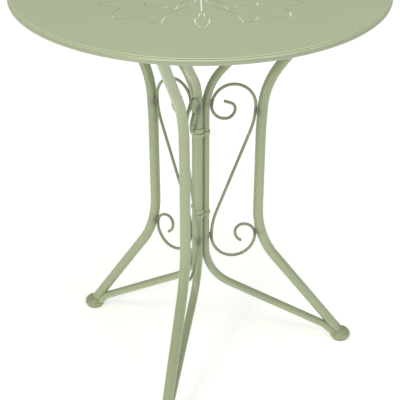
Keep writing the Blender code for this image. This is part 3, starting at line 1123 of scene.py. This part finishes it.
    def tube(self, line: Array, radius: float,
             contacts: list[tuple[Array, Array, float]]) -> Shell:
        """A round tube along its centre line, cut level under its plate.

        Args:
            line: its centre line.
            radius: of the tube.
            contacts: the scroll's contacts, round which the tube is painted darker as shade.

        Returns:
            The closed shell.
        """
        fine = self.densify(line, self.tube_step)
        grid = carry(fine, circle(radius, self.tube_sides))
        ahead = headings(fine)[-1]
        slide = (self.plate_low - grid[-1, :, 2]) / ahead[1]
        grid[-1] += slide[:, None] * upright(ahead)
        # painted shade also where the tube enters the ball foot
        foot = upright(np.array([self.foot.reach, self.foot.height]))
        return self.placed(grid, film_and_light=self.weld_shade(grid, contacts, [foot]))

    def scroll_bar(self, contacts: list[tuple[Array, Array, float]]) -> Shell:
        """The scroll's round bar; its two ends are domed.

        Near an end the section shrinks as the square root of 1 minus the squared share of
        the last radius.

        Args:
            contacts: the scroll's contacts.

        Returns:
            The closed shell.
        """
        fine = self.densify(self.scroll, self.scroll_step)
        share = np.linspace(0, self.last_share, 7)[1:, None]
        blunt = self.bluntness * self.scroll_radius
        first, last = unit(fine[0] - fine[1]), unit(fine[-1] - fine[-2])
        line = np.concatenate([(fine[0] + first * blunt * share)[::-1], fine,
                               fine[-1] + last * blunt * share])
        taper = np.sqrt(1 - share[:, 0] ** 2)
        swell = np.concatenate([taper[::-1], np.ones(len(fine)), taper])
        grid = carry(line, circle(self.scroll_radius, self.scroll_sides), swell)
        # the scroll is painted darker than the tubes, as shade
        film_and_light = np.minimum(self.weld_shade(grid, contacts, []) + self.scroll_shade, 1.0)
        return self.placed(grid, film_and_light=film_and_light)

    def plate(self, middle: float) -> Shell:
        """A rounded plate on a tube's top end; the front frame's have two stud holes.

        Args:
            middle: distance of its middle from the centre.

        Returns:
            The closed shell.
        """
        outline = rounded_box(self.plate_length, self.plate_width, self.plate_corner)
        centres = [(middle, s * self.stud_offset) for s in (1, -1)]
        holes = [circle(self.stud_clearance, 28, c) for c in centres]
        made = Plate(outline + np.array([middle, 0.0]),
                     holes if self.side is Side.FRONT else [], self.plate_low,
                     self.plate_high, self.plate_round, self.plate_round).shell()
        made.points = self.side.place(made.points)
        return made

    def welds(self, contacts: list[tuple[Array, Array, float]]) -> list[Shell]:
        """Weld lumps at the scroll's contacts, and beads at the tubes' ends.

        Args:
            contacts: the scroll's contacts.

        Returns:
            One shell to a weld.
        """
        shells = []
        for middle, toward, gap in contacts:
            axes = np.stack([upright(np.array([-toward[1], toward[0]])), [0.0, 1.0, 0.0],
                             upright(toward)])
            halves = (self.weld_half_length, self.weld_half_width, gap / 2 + self.weld_bite)
            shells.append(weld_lump(self.side.place(upright(middle)), self.side.place(axes),
                                    halves))
        for line, radius in ((self.outer, self.outer_radius), (self.inner, self.inner_radius)):
            shells += self.end_beads(line, radius)
        return shells

    def end_beads(self, line: Array, radius: float) -> list[Shell]:
        """The beads where a tube meets its plate and where it enters the ball foot.

        The straight lines of the tube's wall are cut by the plate's level at one end and by
        the foot's dome at the other.

        Args:
            line: the tube's centre line.
            radius: of the tube.

        Returns:
            The bead at the plate, then the bead at the foot.
        """
        first, last = headings(line)[[0, -1]]
        wall = upright(line[-1]) + self.wall_offsets(last, radius)
        wall = wall + upright(last) * ((self.plate_low - wall[:, 2:]) / last[1])
        entry = self.foot.meet(upright(line[0]), upright(first),
                               self.wall_offsets(first, radius))
        return [bead_ring(self.side.place(wall), self.plate_bead, self.plate_ripples),
                bead_ring(self.side.place(entry), self.foot_bead, self.foot_ripples)]

    @staticmethod
    def wall_offsets(ahead: Array, radius: float, sides: int = 48) -> Array:
        """Offsets from a tube's centre line to its wall, square to its direction.

        Args:
            ahead: the tube's direction, as (along, height).
            radius: of the tube.
            sides: offsets in the ring.

        Returns:
            sides x 3 offsets.
        """
        spot = circle(radius, sides)
        return (spot[:, :1] * upright(np.array([ahead[1], -ahead[0]]))
                + spot[:, 1:] * np.array([0.0, 1.0, 0.0]))


# ---- fasteners, hinges and catches ----------------------------------------------------------
@dataclass
class TopFasteners:
    """Studs welded under the sheet, and the nuts that hold the front frame's plates."""

    stud_radius: float = 0.0025
    pitch: float = 0.0008
    thread_depth: float = 0.00035
    bore: float = 0.0028
    across_corners: float = 0.0088
    end_length: float = 0.0005         # over which a stud's end is turned down
    end_inset: float = 0.0004
    face_inset: float = 0.0002         # of the nut's round face inside its flats
    corner_slope: float = 1.9
    stud_sides: int = 48
    nut_sides: int = 96

    def build(self) -> None:
        """Build and dress each stud and nut where the frame has it."""
        body = "top_and_front_frame"
        for row in ("outer", "inner"):
            for number in (1, 2):
                stud, nut = f"{row}_stud_{number}", f"{row}_nut_{number}"
                make_piece(f"{row}_screw_{number}", [self.stud(stud)], Finish.ZINC,
                           body, [stud])
                make_piece(f"{row}_hex_{number}", [self.nut(nut)], Finish.ZINC, body,
                           [nut], sharp=np.radians(25))

    def stud(self, node: str) -> Shell:
        """A threaded rod: its radius falls by a triangle wave of (turn + height / pitch).

        Args:
            node: the frame node it stands for.

        Returns:
            The closed shell.
        """
        low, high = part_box(node)
        level = np.linspace(low.z, high.z, int((high.z - low.z) / self.pitch * 8))[:, None]
        turn = TURN * np.arange(self.stud_sides)[None] / self.stud_sides
        wave = (turn / TURN - (level - low.z) / self.pitch) % 1.0
        groove = self.thread_depth * np.abs(2 * wave - 1)
        end = np.clip((level - low.z) / self.end_length, 0, 1)
        radius = self.stud_radius - groove - self.end_inset * (1 - end)
        return grid_shell(self.around(low, high, radius, turn, level))

    @staticmethod
    def around(low: Vector, high: Vector, radius: Array, turn: Array, level: Array) -> Array:
        """Points at a radius, a turn and a level round the upright axis of a box.

        Args:
            low: lower corner of the box.
            high: upper corner of the box.
            radius: of each point.
            turn: of each column.
            level: of each row.

        Returns:
            rows x columns x 3 points.
        """
        return np.stack([(low.x + high.x) / 2 + radius * np.cos(turn),
                         (low.y + high.y) / 2 + radius * np.sin(turn),
                         np.broadcast_to(level, radius.shape)], -1)

    def nut(self, node: str) -> Shell:
        """A hexagon nut: at each turn the radius is the lesser of the hexagon's and of a cone
        that chamfers its corners; the section then goes down the bore.

        Args:
            node: the frame node it stands for.

        Returns:
            The closed shell.
        """
        low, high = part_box(node)
        flat = self.across_corners / 2 * np.cos(np.pi / 6)
        turn = TURN * np.arange(self.nut_sides)[None] / self.nut_sides
        azimuth = np.radians(Side.FRONT.value[1])
        off_flat = (turn - azimuth) % (np.pi / 3) - np.pi / 6
        hexagon = flat / np.cos(off_flat)
        level = np.linspace(0, 1, 15)[:, None]
        height = (high.z - low.z) * level
        edge = np.minimum(height, high.z - low.z - height)
        cone = flat - self.face_inset + edge * self.corner_slope
        radius = np.concatenate([np.minimum(hexagon, cone),
                                 np.full((2, self.nut_sides), self.bore)])
        levels = np.concatenate([low.z + height, [[high.z], [low.z]]])
        return grid_shell(self.around(low, high, radius, turn, levels), ring=True)


@dataclass
class StrapHinge:
    """A figure-of-eight strap round the front post and a swinging one."""

    level: str
    side: Side
    post: float = 0.0091
    bore: float = 0.0072
    wall: float = 0.0011
    edge_round: float = 0.0008
    bore_round: float = 0.0002
    # paler edges, for the thin film and as painted light that lifts the shade along the strap
    edge_film_and_highlight: float = 0.35
    waist: float = np.radians(28)

    def build(self) -> None:
        """Build and dress the strap where the frame has it."""
        node = f"{self.level}_hinge_{self.side.value[0]}"
        low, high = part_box(node)
        front = Side.FRONT.post_place(self.post)
        swinging = self.side.post_place(self.post)
        strap = Plate(self.outline(front, swinging),
                      [circle(self.bore, 64, tuple(c)) for c in (front, swinging)], low.z,
                      high.z, self.edge_round, self.edge_round, self.bore_round,
                      edge_film_and_highlight=self.edge_film_and_highlight, wall_shade=EVEN_FILM)
        make_piece(f"hinge_strap_{self.level}_{self.side.value[0]}", [strap.shell()],
                   Finish.FRAME, "top_and_front_frame", [node])

    def outline(self, front: Array, swinging: Array) -> Array:
        """Two arcs round the posts, joined across the waist.

        Args:
            front: axis of the front post.
            swinging: axis of the swinging post.

        Returns:
            m x 2 points, counter-clockwise.
        """
        apart = swinging - front
        heading = np.arctan2(apart[1], apart[0])
        swing = self.waist + 2 * (np.pi - self.waist) * np.linspace(0, 1, 48)
        arcs = []
        for centre, start in ((front, heading), (swinging, heading + np.pi)):
            turn = start + swing
            arcs.append(centre + (self.bore + self.wall)
                        * np.stack([np.cos(turn), np.sin(turn)], 1))
        return np.concatenate(arcs)


@dataclass
class PlateCatch:
    """A J of bent strip under the sheet, whose lip holds a swinging frame's plate."""

    row: str
    side: Side
    middle: float
    plate_width: float = 0.040
    thickness: float = 0.0018
    length: float = 0.020
    lip: float = 0.0055
    flange: float = 0.011
    clearance: float = 0.0005
    bend: float = 0.0013
    edge_round: float = 0.0004

    def build(self) -> None:
        """Build and dress the catch where the frame has it."""
        node = f"{self.row}_catch_{self.side.value[0]}"
        plate_low, plate_high = (corner.z for corner in
                                 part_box(f"{self.row}_top_pad_{self.side.value[0]}"))
        closed = 1.0 if self.side is Side.RIGHT else -1.0
        half = self.thickness / 2
        wall = self.plate_width / 2 + self.clearance + half
        lip_level = plate_low - self.clearance - half
        flange_level = plate_high - half
        corners = np.array([(wall + self.flange - half, flange_level, 0.0),
                            (wall, flange_level, self.bend), (wall, lip_level, self.bend),
                            (wall - self.lip - half, lip_level, 0.0)])
        line = bent_line(corners, np.radians(10))
        grid = carry(line, rounded_box(self.thickness, self.length, self.edge_round, steps=4))
        swapped = np.stack([self.middle + grid[..., 1], closed * grid[..., 0],
                            grid[..., 2]], -1)
        make_piece(f"catch_{self.row}_{self.side.value[0]}",
                   [grid_shell(self.side.place(swapped))], Finish.TOP,
                   "top_and_front_frame", [node])


# ---- the studio -----------------------------------------------------------------------------
@dataclass(frozen=True)
class PaintedFloor:
    """A matt white floor, painted and lit evenly so that it reads as plain pale ground."""

    name: str = "matt_white_floor"
    colour: str = "#f7f7f5"
    roughness: float = 0.9
    glow: float = 0.50

    def make(self) -> bpy.types.Material:
        """Build a matt shader with a slight even glow.

        Returns:
            The material.
        """
        made, _, shader = blank_material(self.name)
        shader.inputs["Base Color"].default_value = linear(self.colour)
        shader.inputs["Roughness"].default_value = self.roughness
        shader.inputs["Specular IOR Level"].default_value = 0.0
        shader.inputs["Emission Color"].default_value = linear(self.colour)
        shader.inputs["Emission Strength"].default_value = self.glow
        return made


@dataclass(frozen=True)
class SoftBox:
    """One soft rectangular lamp aimed at the table."""

    name: str
    place: tuple[float, float, float]
    aim: tuple[float, float, float]
    width: float
    height: float
    watts: float
    tint: str = "#ffffff"

    def build(self) -> None:
        """Add the lamp, facing its aim."""
        lamp = bpy.data.lights.new(self.name, "AREA")
        lamp.shape, lamp.size, lamp.size_y = "RECTANGLE", self.width, self.height
        lamp.energy = self.watts
        lamp.color = linear(self.tint)[:3]
        holder = bpy.data.objects.new(self.name, lamp)
        holder.location = self.place
        holder.rotation_mode = "QUATERNION"
        holder.rotation_quaternion = (Vector(self.aim)
                                      - Vector(self.place)).to_track_quat("-Z", "Y")
        bpy.context.scene.collection.objects.link(holder)


@dataclass
class Studio:
    """Plain pale floor, white surroundings, soft boxes and the camera."""

    floor_radius: float = 9.0
    floor_drop: float = 0.0005         # the floor lies just under the feet
    floor_sides: int = 96
    film_width: float = 36.0
    surround: float = 0.42
    lens: float = 121.14
    camera_place: tuple[float, float, float] = (0.0, -2.007, 1.404)
    camera_tilt: float = 61.63
    soft_boxes: tuple[SoftBox, ...] = (
        SoftBox("key_soft_box", (-0.9, -2.0, 2.5), (0, 0, 0.5), 0.6, 0.6, 20, "#fff7e6"),
        SoftBox("strip_soft_box", (-1.8, -2.5, 0.7), (0, 0, 0.5), 0.16, 1.1, 15, "#fff7e6"),
        SoftBox("fill_soft_box", (1.5, -1.4, 2.1), (0, 0, 0.4), 0.5, 0.9, 10, "#e3eaff"),
        SoftBox("top_soft_box", (0.1, -0.5, 3.0), (0, 0, 0.5), 1.6, 0.4, 20),
    )

    def build(self) -> None:
        """Add the floor, the surroundings, the lamps and the camera."""
        turn = TURN * np.arange(self.floor_sides) / self.floor_sides
        rim = np.stack([self.floor_radius * np.cos(turn), self.floor_radius * np.sin(turn),
                        np.full(self.floor_sides, -self.floor_drop)], 1)
        mesh = bpy.data.meshes.new("floor")
        mesh.from_pydata(rim.tolist(), [], [list(range(self.floor_sides))])
        mesh.materials.append(PaintedFloor().make())
        floor = bpy.data.objects.new("floor", mesh)
        bpy.context.scene.collection.objects.link(floor)
        world = bpy.data.worlds.new("white_surroundings")
        world.use_nodes = True
        glow = world.node_tree.nodes["Background"]
        glow.inputs["Color"].default_value = (1.0, 1.0, 1.0, 1.0)
        glow.inputs["Strength"].default_value = self.surround
        scene = bpy.context.scene
        scene.world = world
        for box in self.soft_boxes:
            box.build()
        lens = bpy.data.cameras.new("camera")
        lens.lens, lens.sensor_width = self.lens, self.film_width
        camera = bpy.data.objects.new("camera", lens)
        camera.location = self.camera_place
        camera.rotation_euler = (np.radians(self.camera_tilt), 0.0, 0.0)
        scene.collection.objects.link(camera)
        scene.camera = camera
        scene.view_settings.view_transform = "Standard"
        scene.view_settings.look = "None"


def main() -> None:
    """Build the table in order, then the studio."""
    logging.basicConfig(level=logging.INFO, format="%(message)s")
    TableTop().build()
    frames = {side: LegFrame(side) for side in Side}
    for leg in frames.values():
        leg.build()
    TopFasteners().build()
    for side in (Side.LEFT, Side.RIGHT):
        for level in ("upper", "lower"):
            StrapHinge(level, side).build()
        PlateCatch("outer", side, frames[side].outer[-1, 0]).build()
        PlateCatch("inner", side, frames[side].inner[-1, 0]).build()
    Studio().build()


if __name__ == "__main__":
    main()
